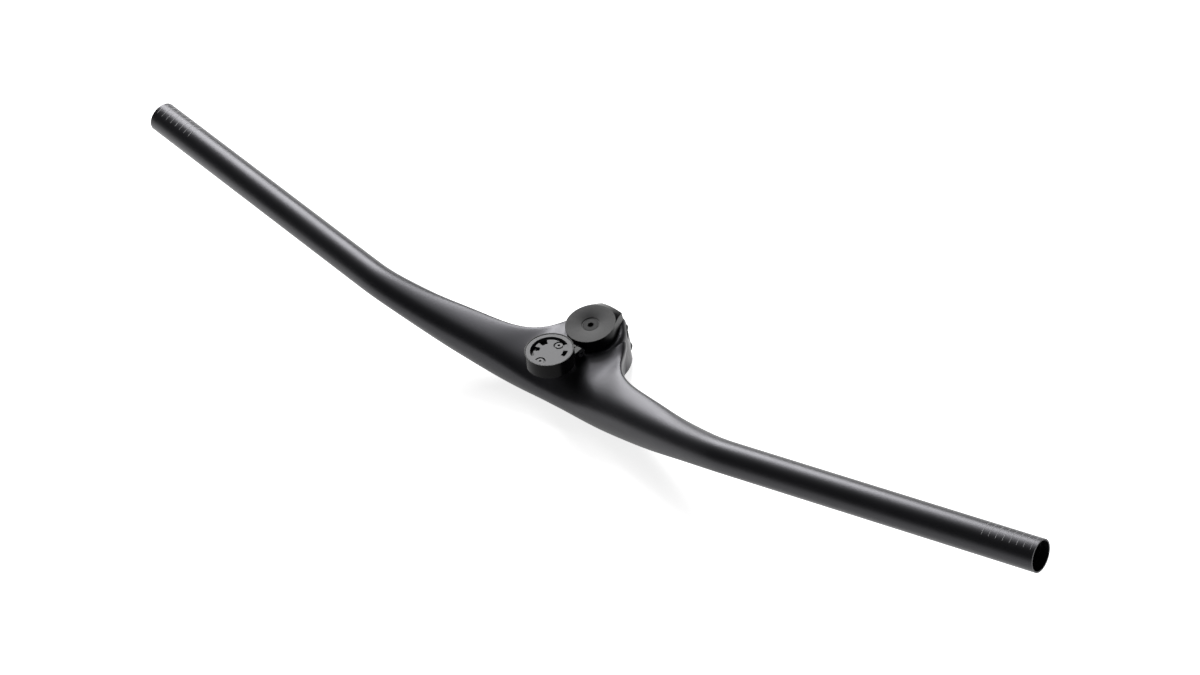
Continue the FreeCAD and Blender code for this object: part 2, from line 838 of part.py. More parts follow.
nodes = [
    make_bar_stem(),
    make_clamp_bolts(),
    make_clamp_washers(),
    make_clamp_nuts(),
    make_mount_base(),
    make_top_cap(),
    make_cap_bolt(),
    make_mount_cup(),
    make_bayonet_insert(),
    make_insert_screws(),
    make_hinge_screw(),
    make_hinge_nut(),
]
doc.recompute()
check_document()
write_nodes(nodes)
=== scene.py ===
"""Looks of an integrated carbon handlebar and stem with its top cap and computer mount."""

import json
import math

import bmesh
import bpy
from bpy.props import FloatProperty, FloatVectorProperty, IntProperty, PointerProperty
from bpy.types import Operator, Panel, PropertyGroup
from mathutils import Matrix, Vector


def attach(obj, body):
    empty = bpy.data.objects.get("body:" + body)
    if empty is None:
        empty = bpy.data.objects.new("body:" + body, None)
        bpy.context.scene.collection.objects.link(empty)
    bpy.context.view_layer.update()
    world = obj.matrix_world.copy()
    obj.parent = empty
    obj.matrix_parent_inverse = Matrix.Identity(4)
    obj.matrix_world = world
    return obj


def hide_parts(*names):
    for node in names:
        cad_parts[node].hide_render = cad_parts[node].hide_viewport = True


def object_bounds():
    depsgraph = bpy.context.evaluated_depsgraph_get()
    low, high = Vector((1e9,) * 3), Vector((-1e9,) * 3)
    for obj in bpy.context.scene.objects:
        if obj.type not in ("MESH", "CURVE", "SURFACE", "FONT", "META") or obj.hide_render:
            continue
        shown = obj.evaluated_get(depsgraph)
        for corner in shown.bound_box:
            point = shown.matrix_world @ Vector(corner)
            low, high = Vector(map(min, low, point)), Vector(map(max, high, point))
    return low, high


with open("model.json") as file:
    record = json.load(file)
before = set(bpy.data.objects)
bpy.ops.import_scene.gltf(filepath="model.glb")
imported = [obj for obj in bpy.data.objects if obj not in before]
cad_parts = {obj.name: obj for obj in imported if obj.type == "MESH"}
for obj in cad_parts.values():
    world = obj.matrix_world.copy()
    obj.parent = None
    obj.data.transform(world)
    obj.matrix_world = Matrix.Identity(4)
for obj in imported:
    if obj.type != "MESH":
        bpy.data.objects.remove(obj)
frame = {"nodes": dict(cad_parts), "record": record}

bl_info = {
    "name": "Handlebar Stem Looks",
    "version": (1, 0, 0),
    "blender": (4, 5, 0),
    "location": "View3D > Sidebar > Handlebar",
    "description": "Finishes, trim marks and stage of an integrated handlebar and stem",
    "category": "Object",
}

CAD_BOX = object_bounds()
MOUNTS = {mount["name"]: mount for mount in frame["record"]["mounts"]}
MM = 0.001


def mount_place(name):
    """Point on the mount's axis, and the direction that it faces."""
    mount = MOUNTS[name]
    return Vector(mount["pos_m"]), Vector(mount["axis"]).normalized()


TUBE_RADIUS = MOUNTS["grip_right"]["dims"]["r_mm"] * MM
# The lacquered skin stays this much inside the tube's nominal radius.
SKIN_RADIUS = TUBE_RADIUS - 0.05 * MM
TUBE_BORE = MOUNTS["bar_end_right"]["dims"]["r_mm"] * MM
STEERER_RADIUS = MOUNTS["steerer_clamp"]["dims"]["r_mm"] * MM
BAR_END, TUBE_WAY = mount_place("bar_end_right")
COCKPIT = "cockpit"
MOUNT_ARM = "mount_arm"
RING_POINTS = 16
RING_ANGLES = [index * math.tau / RING_POINTS for index in range(RING_POINTS)]
# A cubic ring of this many points runs inside its control points by this share.
RING_SHARE = (2 + math.cos(math.tau / RING_POINTS)) / 3

# Machined pieces: points closer than this are one, faces flatter than this are one face, and
# edges sharper than this get a small round.
WELD_DISTANCE = 0.002 * MM
FLAT_ANGLE = math.radians(0.6)
EDGE_ANGLE = math.radians(35)
# Shading stays sharp over edges with more than this angle.
MACHINED_SHARP = math.radians(60)
CARBON_SHARP = math.radians(28)
# How much the large faces of a machined piece count in its shading.
LARGE_FACE_WEIGHT = 80

# Points of the body closer than this are one.
BODY_WELD_DISTANCE = 0.001 * MM
# Rings of the cage, as shares of the blend and of the straight tube after it.
BLEND_SHARES = (0.0, 0.4, 1.0)
TUBE_SHARES = (0.25, 0.5, 0.75, 1.0)
# Sides of the cylinders that the body is formed and cut with.
CLAMP_SIDES = 96
STEERER_SIDES = 160
OPENING_SIDES = 64
HOLE_SIDES = 48
# Faces across the clamp's rounded edges, and along a trim mark.
ROUND_STEPS = 7
MARK_STEPS = 24
# Length of the box that cuts the clamp's slit, well past the rear of the clamp.
SLIT_LENGTH = 50.0 * MM

# Sections of one half of the wing, from the middle outwards. Each one crosses the bar from
# its front edge to its rear edge. Lengths in millimetres.
WING_SECTIONS = (
    # place on half span, rise, rear x, rear y, front and rear squareness, climb, lean, half height
    (0.00, 0.00, 0.0, 11.4, 3.2, 2.9, 1.05, 2.2, 12.0),
    (0.04, 0.00, 14.2, 10.4, 3.1, 3.4, 1.08, 5.7, 12.0),
    (0.09, 0.01, 20.6, 5.7, 3.1, 4.0, 1.03, 9.0, 12.3),
    (0.14, 0.03, 24.5, -1.7, 3.0, 4.6, 0.86, 11.4, 13.0),
    (0.19, 0.06, 28.3, -8.2, 2.9, 5.1, 0.61, 12.1, 13.9),
    (0.25, 0.11, 32.7, -14.3, 2.8, 5.4, 0.37, 10.3, 14.8),
    (0.32, 0.17, 40.1, -20.1, 2.6, 5.3, 0.14, 6.6, 15.3),
    (0.40, 0.25, 51.8, -24.2, 2.45, 4.9, 0.00, 3.4, 15.2),
    (0.50, 0.36, 68.7, -26.3, 2.4, 4.3, 0.00, 1.8, 14.7),
    (0.61, 0.49, 88.1, -28.6, 2.3, 3.5, 0.00, 1.0, 13.9),
    (0.73, 0.66, 108.5, -32.0, 2.2, 2.6, 0.00, 0.0, 12.7),
    (0.87, 0.85, 130.0, -34.5, 2.1, 2.1, 0.00, 0.0, 11.6),
)


# Settings


class CarbonSettings(PropertyGroup):
    """Lacquered carbon of the bar and stem."""

    colour: FloatVectorProperty(
        name="Colour", description="Colour of the carbon under its lacquer",
        subtype="COLOR", size=3, default=(0.0030, 0.0030, 0.0038), min=0.0, max=1.0,
    )
    roughness: FloatProperty(
        name="Roughness", description="Roughness of the satin lacquer",
        default=0.40, min=0.0, max=1.0, subtype="FACTOR",
    )
    specular: FloatProperty(
        name="Specular level", description="Strength of the lacquer's reflection",
        default=0.44, min=0.0, max=1.0, subtype="FACTOR",
    )
    sheen: FloatVectorProperty(
        name="Sheen colour", description="Faintly cool colour of the lacquer's reflection",
        subtype="COLOR", size=3, default=(0.93, 0.92, 1.0), min=0.0, max=1.0,
    )
    grain: FloatProperty(
        name="Grain", description="Size of the grain in the lacquer",
        default=0.35 * MM, min=0.0001, max=0.01, unit="LENGTH",
    )


class BodySettings(PropertyGroup):
    """Form of the wing, its tubes and the steerer clamp."""

    half_span: FloatProperty(
        name="Half span", description="Where the wing ends and the round tube begins",
        default=150.0 * MM, unit="LENGTH", subtype="DISTANCE",
    )
    tube_blend: FloatProperty(
        name="Tube blend", description="Length in which the wing becomes the round tube",
        default=45.0 * MM, unit="LENGTH", subtype="DISTANCE",
    )
    front_forward: FloatProperty(
        name="Front edge", description="Distance of the front edge from the steerer axis",
        default=50.2 * MM, unit="LENGTH", subtype="DISTANCE",
    )
    middle_height: FloatProperty(
        name="Middle height", description="Height of the bar's middle over the clamp's foot",
        default=12.8 * MM, unit="LENGTH", subtype="DISTANCE",
    )
    skin_drop: FloatProperty(
        name="Skin drop", description="How far the skin stays under the clamp's top face",
        default=0.4 * MM, unit="LENGTH", subtype="DISTANCE",
    )
    climb_start: FloatProperty(
        name="Climb start", description="Place in a section, from -1 at the front to 1 at the "
        "rear, where its top starts to climb to the clamp", default=-0.96,
    )
    climb_end: FloatProperty(
        name="Climb end", description="Place in a section where its top has climbed",
        default=-0.23,
    )
    clamp_height: FloatProperty(
        name="Clamp height", description="Height of the steerer clamp",
        default=32.0 * MM, unit="LENGTH", subtype="DISTANCE",
    )
    clamp_radius: FloatProperty(
        name="Clamp radius", description="Radius of the clamp's round front",
        default=22.5 * MM, unit="LENGTH", subtype="DISTANCE",
    )
    ear_round: FloatProperty(
        name="Ear radius", description="Radius of the rounded ears behind the steerer",
        default=6.5 * MM, unit="LENGTH", subtype="DISTANCE",
    )
    ear_place: FloatVectorProperty(
        name="Ear centre", description="Centre of the right ear's round",
        size=2, default=(5.64 * MM, 17.35 * MM), subtype="TRANSLATION", unit="LENGTH",
    )
    top_round: FloatProperty(
        name="Top edge radius", description="Radius of the clamp's upper edge",
        default=4.0 * MM, unit="LENGTH", subtype="DISTANCE",
    )
    bottom_round: FloatProperty(
        name="Bottom edge radius", description="Radius of the clamp's lower edge",
        default=5.5 * MM, unit="LENGTH", subtype="DISTANCE",
    )
    slit: FloatProperty(
        name="Slit width", description="Width of the clamp's slit",
        default=2.4 * MM, unit="LENGTH", subtype="DISTANCE",
    )
    bolt_back: FloatProperty(
        name="Bolts behind steerer", description="Distance of both bolts from the steerer axis",
        default=18.2 * MM, unit="LENGTH", subtype="DISTANCE",
    )
    bolt_heights: FloatVectorProperty(
        name="Bolt heights", description="Heights of the lower and the upper bolt",
        size=2, default=(6.2 * MM, 24.6 * MM), subtype="TRANSLATION", unit="LENGTH",
    )
    bolt_seat: FloatProperty(
        name="Bolt seat", description="Distance of the recess floors from the slit's middle",
        default=6.5 * MM, unit="LENGTH", subtype="DISTANCE",
    )
    recess_radius: FloatProperty(
        name="Recess radius", description="Radius of the recesses of bolt heads and nuts",
        default=4.5 * MM, unit="LENGTH", subtype="DISTANCE",
    )
    hole_radius: FloatProperty(
        name="Hole radius", description="Radius of the bolts' holes",
        default=2.7 * MM, unit="LENGTH", subtype="DISTANCE",
    )
    mouth_radius: FloatProperty(
        name="Mouth radius", description="Radius of the trimmed opening at the bar's ends",
        default=10.1 * MM, unit="LENGTH", subtype="DISTANCE",
    )
    mouth_depth: FloatProperty(
        name="Mouth depth", description="Depth of the trimmed opening at the bar's ends",
        default=6.0 * MM, unit="LENGTH", subtype="DISTANCE",
    )
    end_depth: FloatProperty(
        name="End depth", description="How far the open tube ends can be seen into",
        default=60.0 * MM, unit="LENGTH", subtype="DISTANCE",
    )


class MetalSettings(PropertyGroup):
    """Anodised cap, base and cup, and the black screws."""

    anodised: FloatVectorProperty(
        name="Anodised colour", description="Colour of the black anodised aluminium",
        subtype="COLOR", size=3, default=(0.0022, 0.0022, 0.0025), min=0.0, max=1.0,
    )
    screw: FloatVectorProperty(
        name="Screw colour", description="Colour of the blackened steel screws",
        subtype="COLOR", size=3, default=(0.020, 0.020, 0.022), min=0.0, max=1.0,
    )
    edge_round: FloatProperty(
        name="Edge round", description="Width of the small rounds on machined edges",
        default=0.25 * MM, min=0.0, unit="LENGTH", subtype="DISTANCE",
    )
    cap_bolt: FloatVectorProperty(
        name="Cap bolt colour", description="Colour of the black bolt of the top cap",
        subtype="COLOR", size=3, default=(0.0035, 0.0035, 0.0040), min=0.0, max=1.0,
    )
    screw_shine: FloatProperty(
        name="Screw shine", description="Strength of the screws' reflection",
        default=0.17, min=0.0, max=1.0, subtype="FACTOR",
    )
    insert: FloatVectorProperty(
        name="Insert colour", description="Colour of the moulded socket insert",
        subtype="COLOR", size=3, default=(0.028, 0.028, 0.032), min=0.0, max=1.0,
    )


class TrimSettings(PropertyGroup):
    """Marks at the bar's ends that show where to cut it."""

    count: IntProperty(
        name="Marks", description="Number of marks at each end", default=8, min=0, max=20,
    )
    pitch: FloatProperty(
        name="Pitch", description="Distance from mark to mark",
        default=5.0 * MM, min=0.001, max=0.05, unit="LENGTH", subtype="DISTANCE",
    )
    first: FloatProperty(
        name="First mark", description="Distance of the first mark from the bar's outermost point",
        default=4.6 * MM, min=0.0, max=0.1, unit="LENGTH", subtype="DISTANCE",
    )
    width: FloatProperty(
        name="Width", description="Width of a mark along the bar",
        default=0.40 * MM, min=0.0001, max=0.005, unit="LENGTH", subtype="DISTANCE",
    )
    proud: FloatProperty(
        name="Thickness", description="How far the paint stands on the lacquer",
        default=0.03 * MM, min=0.0, max=0.001, unit="LENGTH", subtype="DISTANCE",
    )
    sweep: FloatProperty(
        name="Sweep", description="Angle that each mark covers round the tube",
        default=math.radians(76), min=0.0, max=math.tau, subtype="ANGLE", unit="ROTATION",
    )
    turn: FloatProperty(
        name="Turn", description="How far the marks sit from the top towards the rear",
        default=math.radians(11), subtype="ANGLE", unit="ROTATION",
    )
    colour: FloatVectorProperty(
        name="Colour", description="Colour of the marks",
        subtype="COLOR", size=3, default=(0.30, 0.30, 0.31), min=0.0, max=1.0,
    )


class StageSettings(PropertyGroup):
    """Floor, lamps and camera."""

    floor_colour: FloatVectorProperty(
        name="Floor colour", description="Colour of the floor and the world above it",
        subtype="COLOR", size=3, default=(0.80, 0.80, 0.80), min=0.0, max=1.0,
    )
    floor_lift: FloatProperty(
        name="Floor lift", description="Light that the floor shows on top of what it reflects",
        default=0.80, min=0.0, max=1.0, subtype="FACTOR",
    )
    key_azimuth: FloatProperty(
        name="Key azimuth", description="Direction of the soft box, from +X towards +Y",
        default=math.radians(137), subtype="ANGLE", unit="ROTATION",
    )
    key_elevation: FloatProperty(
        name="Key elevation", description="Height of the soft box over the horizon",
        default=math.radians(36), subtype="ANGLE", unit="ROTATION",
    )
    key_distance: FloatProperty(
        name="Key distance", description="Distance of the soft box from the stem",
        default=2.4, min=0.1, unit="LENGTH", subtype="DISTANCE",
    )
    key_size: FloatProperty(
        name="Key size", description="Side of the soft box",
        default=1.3, min=0.01, unit="LENGTH", subtype="DISTANCE",
    )
    key_power: FloatProperty(
        name="Key power", description="Power of the soft box", default=90.0, min=0.0,
        unit="POWER",
    )
    top_elevation: FloatProperty(
        name="Top elevation", description="Height of the upper soft box over the horizon",
        default=math.radians(68), subtype="ANGLE", unit="ROTATION",
    )
    top_power: FloatProperty(
        name="Top power", description="Power of the upper soft box", default=9.0, min=0.0,
        unit="POWER",
    )
    world_level: FloatProperty(
        name="World level", description="Even light from all round",
        default=0.12, min=0.0, max=2.0, subtype="FACTOR",
    )
    camera_place: FloatVectorProperty(
        name="Camera place", description="Where the camera stands",
        size=3, default=(1.5279, -1.2472, 2.0162), subtype="TRANSLATION", unit="LENGTH",
    )
    camera_azimuth: FloatProperty(
        name="Camera azimuth", description="Turn of the camera about +Z from a view along +Y",
        default=math.radians(50.66), subtype="ANGLE", unit="ROTATION",
    )
    camera_elevation: FloatProperty(
        name="Camera elevation", description="How far the camera looks down",
        default=math.radians(45.25), subtype="ANGLE", unit="ROTATION",
    )
    camera_roll: FloatProperty(
        name="Camera roll", description="Turn of the camera about its own line of sight",
        default=math.radians(-14.32), subtype="ANGLE", unit="ROTATION",
    )
    camera_lens: FloatProperty(
        name="Focal length", description="Focal length in millimetres on a 36 mm sensor",
        default=124.6, min=1.0,
    )


# Materials


def node_tools(name):
    """New material with its shader, and helpers that add and join nodes."""
    material = bpy.data.materials.new(name)
    material.use_nodes = True
    tree = material.node_tree
    shader = tree.nodes["Principled BSDF"]

    def add(kind, **values):
        node = tree.nodes.new(kind)
        for key, value in values.items():
            if key in node.inputs:
                node.inputs[key].default_value = value
            else:
                setattr(node, key, value)
        return node

    return material, shader, add, tree.links.new


def object_place(add):
    """Coordinates on the object, in metres."""
    return add("ShaderNodeTexCoord").outputs["Object"]


def noise(add, link, vector, size, detail):
    """Soft noise with patches of a size."""
    texture = add("ShaderNodeTexNoise", Scale=1.0 / size, Detail=detail, Roughness=0.55)
    link(vector, texture.inputs["Vector"])
    return texture.outputs["Fac"]


def spread(add, link, value, low, high):
    """Value from 0 to 1 spread from low to high."""
    node = add("ShaderNodeMapRange")
    node.inputs["To Min"].default_value = low
    node.inputs["To Max"].default_value = high
    link(value, node.inputs["Value"])
    return node.outputs["Result"]


def tint(add, link, value, dark, light):
    """Colour between two colours, by a value from 0 to 1."""
    ramp = add("ShaderNodeValToRGB")
    ramp.color_ramp.elements[0].position = 0.3
    ramp.color_ramp.elements[0].color = (*dark, 1.0)
    ramp.color_ramp.elements[1].position = 0.7
    ramp.color_ramp.elements[1].color = (*light, 1.0)
    link(value, ramp.inputs["Fac"])
    return ramp.outputs["Color"]


def bump(add, link, shader, height, strength, distance):
    """Relief of a shader by a value from 0 to 1."""
    node = add("ShaderNodeBump", Strength=strength, Distance=distance)
    link(height, node.inputs["Height"])
    link(node.outputs["Normal"], shader.inputs["Normal"])


def carbon_material(settings):
    """Satin lacquer over black carbon, with a fine grain and faint soft clouds."""
    material, shader, add, link = node_tools("satin_carbon")
    place = object_place(add)
    colour = tuple(settings.colour)
    paler = tuple(channel * 1.5 for channel in colour)
    clouds = noise(add, link, place, 18 * MM, detail=3.0)
    link(tint(add, link, clouds, colour, paler), shader.inputs["Base Color"])
    fine = noise(add, link, place, settings.grain, detail=2.0)
    rough = settings.roughness
    link(spread(add, link, clouds, rough - 0.03, rough + 0.03), shader.inputs["Roughness"])
    bump(add, link, shader, fine, 0.10, 0.02 * MM)
    shader.inputs["Specular IOR Level"].default_value = settings.specular
    shader.inputs["Specular Tint"].default_value = (*settings.sheen, 1.0)
    return material


def grained_material(name, colour, contrast, grain, detail, rough, relief, specular):
    """Material in which one noise gives the colour, the roughness and the relief."""
    material, shader, add, link = node_tools(name)
    place = object_place(add)
    dark = tuple(colour)
    light = tuple(min(1.0, channel * contrast) for channel in dark)
    pattern = noise(add, link, place, grain, detail)
    link(tint(add, link, pattern, dark, light), shader.inputs["Base Color"])
    link(spread(add, link, pattern, *rough), shader.inputs["Roughness"])
    bump(add, link, shader, pattern, *relief)
    shader.inputs["Specular IOR Level"].default_value = specular
    return material


def anodised_material(settings):
    """Blasted and black anodised aluminium."""
    return grained_material(
        "black_anodised", settings.anodised, contrast=1.8, grain=0.25 * MM, detail=3.0,
        rough=(0.20, 0.28), relief=(0.20, 0.03 * MM), specular=0.065,
    )


def insert_material(settings):
    """Moulded plastic with a fine sparked texture."""
    return grained_material(
        "moulded_insert", settings.insert, contrast=1.3, grain=0.30 * MM, detail=4.0,
        rough=(0.42, 0.55), relief=(0.35, 0.03 * MM), specular=0.28,
    )


def screw_material(name, colour, shine):
    """Blackened steel, lightly worn."""
    return grained_material(
        name, colour, contrast=2.2, grain=0.8 * MM, detail=5.0,
        rough=(0.28, 0.45), relief=(0.15, 0.02 * MM), specular=shine,
    )


def paint_material(settings):
    """Thin printed paint of the trim marks."""
    material, shader, add, link = node_tools("trim_paint")
    place = object_place(add)
    colour = tuple(settings.colour)
    thin = tuple(channel * 0.75 for channel in colour)
    patch = noise(add, link, place, 0.6 * MM, detail=3.0)
    link(tint(add, link, patch, thin, colour), shader.inputs["Base Color"])
    shader.inputs["Roughness"].default_value = 0.6
    return material


def floor_material(settings):
    """Pale floor that shows white to the camera and keeps the shadow."""
    material, shader, add, link = node_tools("pale_floor")
    tree = material.node_tree
    place = object_place(add)
    colour = tuple(settings.floor_colour)
    cloud = noise(add, link, place, 0.25, detail=2.0)
    darker = tuple(channel * 0.99 for channel in colour)
    link(tint(add, link, cloud, darker, colour), shader.inputs["Base Color"])
    shader.inputs["Roughness"].default_value = 0.9
    shader.inputs["Specular IOR Level"].default_value = 0.1
    glow = add("ShaderNodeEmission")
    glow.inputs["Strength"].default_value = settings.floor_lift
    both = add("ShaderNodeAddShader")
    link(shader.outputs["BSDF"], both.inputs[0])
    link(glow.outputs["Emission"], both.inputs[1])
    rays = add("ShaderNodeLightPath")
    seen = add("ShaderNodeMath", operation="ADD", use_clamp=True)
    link(rays.outputs["Is Camera Ray"], seen.inputs[0])
    link(rays.outputs["Is Glossy Ray"], seen.inputs[1])
    through = add("ShaderNodeMath", operation="ADD", use_clamp=True)
    link(seen.outputs["Value"], through.inputs[0])
    link(rays.outputs["Is Transmission Ray"], through.inputs[1])
    choice = add("ShaderNodeMixShader")
    link(through.outputs["Value"], choice.inputs["Fac"])
    link(shader.outputs["BSDF"], choice.inputs[1])
    link(both.outputs["Shader"], choice.inputs[2])
    link(choice.outputs["Shader"], tree.nodes["Material Output"].inputs["Surface"])
    return material


# Pieces


def dress(names, material):
    """Gives CAD nodes their material."""
    for name in names:
        node = frame["nodes"][name]
        node.data.materials.clear()
        node.data.materials.append(material)


def eased_copy(name, new_name, width, material, body):
    """Copy of a CAD node with merged faces and small rounds on its edges; stands for it."""
    mesh = bmesh.new()
    mesh.from_mesh(frame["nodes"][name].data)
    bmesh.ops.remove_doubles(mesh, verts=mesh.verts, dist=WELD_DISTANCE)
    bmesh.ops.dissolve_limit(
        mesh, angle_limit=FLAT_ANGLE, verts=mesh.verts, edges=mesh.edges,
    )
    edges = [
        edge for edge in mesh.edges
        if edge.is_manifold and edge.calc_face_angle(0.0) > EDGE_ANGLE
    ]
    bmesh.ops.bevel(
        mesh, geom=edges, offset=width, segments=2, profile=0.5, affect="EDGES",
        material=-1, clamp_overlap=True,
    )
    piece = finish_piece(new_name, mesh, material, body)
    piece.data.set_sharp_from_angle(angle=MACHINED_SHARP)
    even = piece.modifiers.new("even_normals", "WEIGHTED_NORMAL")
    even.weight = LARGE_FACE_WEIGHT
    even.keep_sharp = True
    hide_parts(name)


def finish_piece(name, mesh, material, body=COCKPIT):
    """New object from a finished bmesh, at the origin, riding on its body."""
    data = bpy.data.meshes.new(name)
    mesh.to_mesh(data)
    mesh.free()
    for face in data.polygons:
        face.use_smooth = True
    data.materials.append(material)
    piece = bpy.data.objects.new(name, data)
    bpy.context.scene.collection.objects.link(piece)
    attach(piece, body)
    return piece


def smooth(share):
    """Smooth step from 0 to 1."""
    share = min(1.0, max(0.0, share))
    return share * share * (3 - 2 * share)


def power(value, squareness):
    """Cosine or sine of a rounded square's angle."""
    return math.copysign(abs(value) ** (2 / squareness), value)


def tube_centre(x):
    """Centre of the right hand tube at a distance from the middle of the bar."""
    return BAR_END + TUBE_WAY * ((x - BAR_END.x) / TUBE_WAY.x)


def tube_section(x):
    """Control points of the round tube, square to it."""
    across = Vector((-TUBE_WAY.y, TUBE_WAY.x, 0)).normalized()
    upwards = TUBE_WAY.cross(across)
    centre = tube_centre(x)
    reach = SKIN_RADIUS / RING_SHARE
    return [
        centre + (across * math.cos(angle) + upwards * math.sin(angle)) * reach
        for angle in RING_ANGLES
    ]


def wing_section(section, body):
    """Control points of the wing between its front and rear edges."""
    place, rise, rear_x, rear_y, front_square, rear_square, climb, lean, half = section
    seam = tube_centre(body.half_span)
    forward = SKIN_RADIUS - seam.y
    depth = body.front_forward + (forward - body.front_forward) * smooth(place)
    front = Vector((place * body.half_span, -depth, 0))
    rear = Vector((rear_x, rear_y, 0)) * MM
    across = (rear - front).normalized()
    reach = (rear - front).length / 2
    middle = (front + rear) / 2
    middle.z = body.middle_height + (seam.z - body.middle_height) * rise
    clamp_half = body.clamp_height / 2
    points = []
    for angle in RING_ANGLES:
        square = rear_square if math.cos(angle) > 0 else front_square
        along = power(math.cos(angle), square)
        upwards = power(math.sin(angle), square)
        share = (along - body.climb_start) / (body.climb_end - body.climb_start)
        mix = climb * smooth(share)
        height = half * MM + (clamp_half - body.skin_drop - half * MM) * mix
        lift = (clamp_half - middle.z) * mix
        shift = lean * MM * max(0.0, upwards) * (1 + along) / 2
        point = middle + across * (reach * along / RING_SHARE + shift)
        point.z += height * upwards / RING_SHARE + lift
        points.append(point)
    return points


def skin_cage(body):
    """Cage of the wing and its tubes, closed and creased at the bar's ends."""
    half = [wing_section(section, body) for section in WING_SECTIONS]
    for share in BLEND_SHARES:
        half.append(tube_section(body.half_span + body.tube_blend * share))
    seat = body.half_span + body.tube_blend
    for share in TUBE_SHARES:
        half.append(tube_section(seat + (BAR_END.x - seat) * share))
    mirrored = [[Vector((-p.x, p.y, p.z)) for p in points] for points in half[1:]]
    rings = list(reversed(mirrored)) + half
    mesh = bmesh.new()
    crease = mesh.edges.layers.float.new("crease_edge")
    ring = bmesh.ops.create_circle(mesh, segments=RING_POINTS, radius=1.0)["verts"]
    for vertex, point in zip(ring, rings[0]):
        vertex.co = point
    ends = [ring]
    for points in rings[1:]:
        edges = [ring[k].link_edges for k in range(RING_POINTS)]
        loop = {edge for link in edges for edge in link if edge.is_boundary or edge.is_wire}
        grown = bmesh.ops.extrude_edge_only(mesh, edges=list(loop))["geom"]
        fresh = {item for item in grown if isinstance(item, bmesh.types.BMVert)}
        following = []
        for vertex in ring:
            following += [
                edge.other_vert(vertex) for edge in vertex.link_edges
                if edge.other_vert(vertex) in fresh
            ]
        ring = following
        for vertex, point in zip(ring, points):
            vertex.co = point
    ends.append(ring)
    for ring in ends:
        mesh.faces.new(ring)
        for k in range(RING_POINTS):
            edge = mesh.edges.get((ring[k], ring[k - 1]))
            edge[crease] = 1.0
    bmesh.ops.recalc_face_normals(mesh, faces=mesh.faces)
    return mesh


def clamp_block(body):
    """Steerer clamp: a round front that runs straight to two rounded ears."""
    mesh = bmesh.new()
    rounds = [(0.0, 0.0, body.clamp_radius)]
    for side in (1, -1):
        rounds.append((side * body.ear_place[0], body.ear_place[1], body.ear_round))
    for x, y, radius in rounds:
        made = bmesh.ops.create_cone(
            mesh, cap_ends=True, segments=CLAMP_SIDES, radius1=radius, radius2=radius,
            depth=body.clamp_height,
        )["verts"]
        bmesh.ops.translate(mesh, verts=made, vec=(x, y, body.clamp_height / 2))
    hull = bmesh.ops.convex_hull(mesh, input=mesh.verts, use_existing_faces=False)
    spare = set(hull["geom_interior"]) | set(hull["geom_unused"])
    bmesh.ops.delete(
        mesh, geom=[item for item in spare if isinstance(item, bmesh.types.BMVert)],
        context="VERTS",
    )
    bmesh.ops.dissolve_limit(
        mesh, angle_limit=math.radians(0.5), verts=mesh.verts, edges=mesh.edges,
    )
    for height, radius in ((body.clamp_height, body.top_round), (0.0, body.bottom_round)):
        rim = [
            edge for edge in mesh.edges
            if all(abs(vertex.co.z - height) < BODY_WELD_DISTANCE for vertex in edge.verts)
        ]
        bmesh.ops.bevel(
            mesh, geom=rim, offset=radius, segments=ROUND_STEPS, profile=0.5, affect="EDGES",
            material=-1,
        )
    bmesh.ops.recalc_face_normals(mesh, faces=mesh.faces)
    return mesh


def cylinder(place, along, radius, length, sides):
    """Cylinder from a place along a direction."""
    mesh = bmesh.new()
    bmesh.ops.create_cone(
        mesh, cap_ends=True, segments=sides, radius1=radius, radius2=radius, depth=length,
    )
    turn = along.to_track_quat("Z", "Y").to_matrix()
    bmesh.ops.rotate(mesh, verts=mesh.verts, cent=(0, 0, 0), matrix=turn)
    bmesh.ops.translate(mesh, verts=mesh.verts, vec=place + along * (length / 2))
    return mesh


def slit_box(body):
    """Box of the clamp's slit, from the steerer axis to the rear."""
    mesh = bmesh.new()
    bmesh.ops.create_cube(mesh, size=1.0)
    size = (body.slit, SLIT_LENGTH, 3 * body.clamp_height)
    bmesh.ops.scale(mesh, verts=mesh.verts, vec=size)
    bmesh.ops.translate(mesh, verts=mesh.verts, vec=(0, SLIT_LENGTH / 2, 0))
    return mesh


def cutters(body):
    """Steerer bore, slit, bolt holes and recesses, and the open ends of the tubes."""
    height = body.clamp_height
    wide = body.clamp_radius
    up = Vector((0, 0, 1))
    side = Vector((1, 0, 0))
    tools = [
        cylinder(-height * up, up, STEERER_RADIUS, 3 * height, STEERER_SIDES),
        slit_box(body),
    ]
    for bolt_height in body.bolt_heights:
        centre = Vector((0, body.bolt_back, bolt_height))
        start = centre - wide * side
        tools.append(cylinder(start, side, body.hole_radius, 2 * wide, HOLE_SIDES))
        for way in (side, -side):
            seat = centre + way * body.bolt_seat
            tools.append(cylinder(seat, way, body.recess_radius, wide, OPENING_SIDES))
    deep = body.end_depth
    for hand in (1, -1):
        way = Vector((hand * TUBE_WAY.x, TUBE_WAY.y, TUBE_WAY.z))
        tip = Vector((hand * BAR_END.x, BAR_END.y, BAR_END.z))
        tools.append(cylinder(tip - way * deep, way, TUBE_BORE, 2 * deep, OPENING_SIDES))
        start = tip - way * body.mouth_depth
        tools.append(cylinder(start, way, body.mouth_radius, deep, OPENING_SIDES))
    return tools


def loose_object(name, mesh):
    """Object in the scene for a mesh that only lends its shape."""
    data = bpy.data.meshes.new(name)
    mesh.to_mesh(data)
    mesh.free()
    made = bpy.data.objects.new(name, data)
    bpy.context.scene.collection.objects.link(made)
    return made


